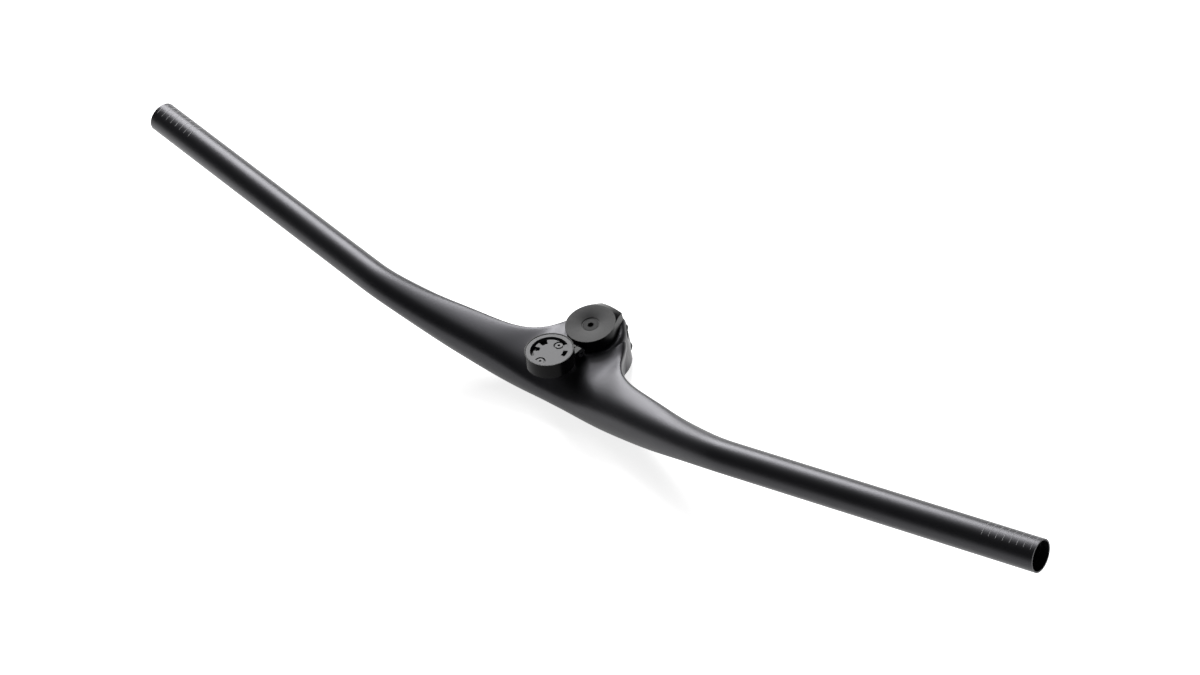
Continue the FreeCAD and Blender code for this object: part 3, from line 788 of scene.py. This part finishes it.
def baked_body(body):
    """Mesh of the skin with the clamp joined on and every opening cut."""
    skin = loose_object("skin_cage", skin_cage(body))
    surface = skin.modifiers.new("surface", "SUBSURF")
    surface.levels = surface.render_levels = 3
    surface.use_limit_surface = True
    helpers = []
    steps = [("UNION", clamp_block(body))] + [("DIFFERENCE", mesh) for mesh in cutters(body)]
    for operation, mesh in steps:
        tool = loose_object("tool", mesh)
        helpers.append(tool)
        step = skin.modifiers.new("step", "BOOLEAN")
        step.operation = operation
        step.solver = "EXACT"
        step.object = tool
    graph = bpy.context.evaluated_depsgraph_get()
    graph.update()
    data = bpy.data.meshes.new_from_object(skin.evaluated_get(graph))
    mesh = bmesh.new()
    mesh.from_mesh(data)
    for item in helpers + [skin]:
        spare = item.data
        bpy.data.objects.remove(item)
        bpy.data.meshes.remove(spare)
    bpy.data.meshes.remove(data)
    bmesh.ops.remove_doubles(mesh, verts=mesh.verts, dist=BODY_WELD_DISTANCE)
    if not mesh.faces:
        raise RuntimeError("the body came out empty")
    return mesh


class COCKPIT_OT_carbon_body(Operator):
    """Form and lacquer the carbon bar and stem"""

    bl_idname = "cockpit.carbon_body"
    bl_label = "Form Body"

    def execute(self, context):
        body = context.scene.cockpit_body
        mesh = baked_body(body)
        material = carbon_material(context.scene.cockpit_carbon)
        piece = finish_piece("carbon_skin", mesh, material)
        piece.data.set_sharp_from_angle(angle=CARBON_SHARP)
        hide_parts("bar_stem")
        return {"FINISHED"}


class COCKPIT_OT_cap_and_mount(Operator):
    """Anodise the top cap, the mount base and the cup"""

    bl_idname = "cockpit.cap_and_mount"
    bl_label = "Anodise Cap and Mount"

    def execute(self, context):
        material = anodised_material(context.scene.cockpit_metal)
        width = context.scene.cockpit_metal.edge_round
        eased_copy("top_cap", "cap_eased", width, material, COCKPIT)
        eased_copy("mount_base", "base_eased", width, material, COCKPIT)
        eased_copy("mount_cup", "cup_eased", width, material, MOUNT_ARM)
        return {"FINISHED"}


class COCKPIT_OT_insert(Operator):
    """Mould the insert of the computer socket"""

    bl_idname = "cockpit.insert"
    bl_label = "Mould Insert"

    def execute(self, context):
        dress(["bayonet_insert"], insert_material(context.scene.cockpit_metal))
        return {"FINISHED"}


class COCKPIT_OT_screws(Operator):
    """Blacken the bolts, screws, washers and nuts"""

    bl_idname = "cockpit.screws"
    bl_label = "Blacken Screws"

    def execute(self, context):
        metal = context.scene.cockpit_metal
        steel = screw_material("blackened_steel", metal.screw, metal.screw_shine)
        dress(["clamp_bolts", "clamp_washers", "clamp_nuts"], steel)
        dress(["insert_screws", "hinge_screw", "hinge_nut"], steel)
        black = screw_material("black_cap_bolt", metal.cap_bolt, metal.screw_shine / 3)
        dress(["top_cap_bolt"], black)
        return {"FINISHED"}


def add_mark(mesh, place, along, settings):
    """One painted arc over the top of the tube, spun from its own thin section."""
    level = along.cross(Vector((0, 0, 1))).normalized()
    top = level.cross(along).normalized()
    section = bmesh.ops.create_grid(mesh, x_segments=1, y_segments=1, size=0.5)["verts"]
    inner = SKIN_RADIUS - settings.proud
    for vertex in section:
        offset = along * (vertex.co.x * settings.width)
        height = inner + (vertex.co.y + 0.5) * 2 * settings.proud
        vertex.co = place + offset + top * height
    rearward = -math.copysign(settings.turn, along.x)
    start = Matrix.Rotation(rearward - settings.sweep / 2, 3, along)
    bmesh.ops.rotate(mesh, verts=section, cent=place, matrix=start)
    faces = list({face for vertex in section for face in vertex.link_faces})
    bmesh.ops.spin(
        mesh, geom=section + faces, cent=place, axis=along, angle=settings.sweep,
        steps=MARK_STEPS, use_duplicate=False, use_merge=False,
    )
    bmesh.ops.recalc_face_normals(mesh, faces=mesh.faces)


class COCKPIT_OT_trim_marks(Operator):
    """Print the trim marks on both ends of the bar"""

    bl_idname = "cockpit.trim_marks"
    bl_label = "Print Trim Marks"

    def execute(self, context):
        settings = context.scene.cockpit_trim
        material = paint_material(settings)
        for side in ("right", "left"):
            end, outward = mount_place("bar_end_" + side)
            reach = CAD_BOX[1].x - abs(end.x)
            tip = end + outward * (reach / abs(outward.x))
            mesh = bmesh.new()
            for index in range(settings.count):
                place = tip - outward * (settings.first + index * settings.pitch)
                add_mark(mesh, place, outward, settings)
            finish_piece("trim_marks_" + side, mesh, material)
        return {"FINISHED"}


# Stage


def add_lamp(name, elevation, watts, settings):
    """Square soft box that faces the stem."""
    azimuth = settings.key_azimuth
    direction = Vector((
        math.cos(azimuth) * math.cos(elevation),
        math.sin(azimuth) * math.cos(elevation),
        math.sin(elevation),
    ))
    data = bpy.data.lights.new(name, "AREA")
    data.shape = "SQUARE"
    data.size = settings.key_size
    data.energy = watts
    lamp = bpy.data.objects.new(name, data)
    lamp.location = direction * settings.key_distance
    lamp.rotation_euler = direction.to_track_quat("Z", "Y").to_euler()
    bpy.context.scene.collection.objects.link(lamp)


def add_camera(settings):
    """Camera at the photograph's angle."""
    azimuth = settings.camera_azimuth
    elevation = settings.camera_elevation
    back = Vector((
        math.sin(azimuth) * math.cos(elevation),
        -math.cos(azimuth) * math.cos(elevation),
        math.sin(elevation),
    ))
    right = Vector((math.cos(azimuth), math.sin(azimuth), 0))
    turn = Matrix((right, back.cross(right), back)).transposed()
    turn = turn @ Matrix.Rotation(settings.camera_roll, 3, "Z")
    data = bpy.data.cameras.new("camera")
    data.sensor_width = 36.0
    data.lens = settings.camera_lens
    data.clip_end = 100.0
    camera = bpy.data.objects.new("camera", data)
    camera.matrix_world = turn.to_4x4()
    camera.location = settings.camera_place
    bpy.context.scene.collection.objects.link(camera)
    bpy.context.scene.camera = camera


def add_floor(settings):
    """Large flat floor under the object."""
    mesh = bmesh.new()
    bmesh.ops.create_grid(mesh, x_segments=8, y_segments=8, size=6.0)
    bmesh.ops.translate(mesh, vec=(0, 0, CAD_BOX[0].z - 0.5 * MM), verts=mesh.verts)
    data = bpy.data.meshes.new("floor")
    mesh.to_mesh(data)
    mesh.free()
    data.materials.append(floor_material(settings))
    floor = bpy.data.objects.new("floor", data)
    bpy.context.scene.collection.objects.link(floor)


def set_world(settings):
    """Even world that shows white behind the object."""
    world = bpy.data.worlds.new("studio")
    world.use_nodes = True
    tree = world.node_tree
    background = tree.nodes["Background"]
    background.inputs["Color"].default_value = (1.0, 1.0, 1.0, 1.0)
    rays = tree.nodes.new("ShaderNodeLightPath")
    level = tree.nodes.new("ShaderNodeMapRange")
    level.inputs["To Min"].default_value = settings.world_level
    level.inputs["To Max"].default_value = 1.0
    tree.links.new(rays.outputs["Is Camera Ray"], level.inputs["Value"])
    tree.links.new(level.outputs["Result"], background.inputs["Strength"])
    bpy.context.scene.world = world


class COCKPIT_OT_stage(Operator):
    """Set up the floor, the lamps, the world and the camera"""

    bl_idname = "cockpit.stage"
    bl_label = "Set Stage"

    def execute(self, context):
        settings = context.scene.cockpit_stage
        add_floor(settings)
        add_lamp("key_soft_box", settings.key_elevation, settings.key_power, settings)
        add_lamp("top_soft_box", settings.top_elevation, settings.top_power, settings)
        set_world(settings)
        add_camera(settings)
        context.scene.view_settings.view_transform = "Standard"
        return {"FINISHED"}


class COCKPIT_PT_panel(Panel):
    """Panel that lists the steps in order"""

    bl_idname = "COCKPIT_PT_panel"
    bl_label = "Handlebar Stem"
    bl_space_type = "VIEW_3D"
    bl_region_type = "UI"
    bl_category = "Handlebar"

    def draw(self, context):
        for step in STEPS:
            self.layout.operator(step.bl_idname)


STEPS = (
    COCKPIT_OT_carbon_body,
    COCKPIT_OT_cap_and_mount,
    COCKPIT_OT_insert,
    COCKPIT_OT_screws,
    COCKPIT_OT_trim_marks,
    COCKPIT_OT_stage,
)
SETTINGS = {
    "cockpit_body": BodySettings,
    "cockpit_carbon": CarbonSettings,
    "cockpit_metal": MetalSettings,
    "cockpit_trim": TrimSettings,
    "cockpit_stage": StageSettings,
}


def register():
    for settings in SETTINGS.values():
        bpy.utils.register_class(settings)
    for name, settings in SETTINGS.items():
        setattr(bpy.types.Scene, name, PointerProperty(type=settings))
    for step in STEPS:
        bpy.utils.register_class(step)
    bpy.utils.register_class(COCKPIT_PT_panel)


def unregister():
    bpy.utils.unregister_class(COCKPIT_PT_panel)
    for step in reversed(STEPS):
        bpy.utils.unregister_class(step)
    for name in SETTINGS:
        delattr(bpy.types.Scene, name)
    for settings in reversed(SETTINGS.values()):
        bpy.utils.unregister_class(settings)


def main():
    register()
    bpy.ops.cockpit.carbon_body()
    bpy.ops.cockpit.cap_and_mount()
    bpy.ops.cockpit.insert()
    bpy.ops.cockpit.screws()
    bpy.ops.cockpit.trim_marks()
    bpy.ops.cockpit.stage()


if __name__ == "__main__":
    main()
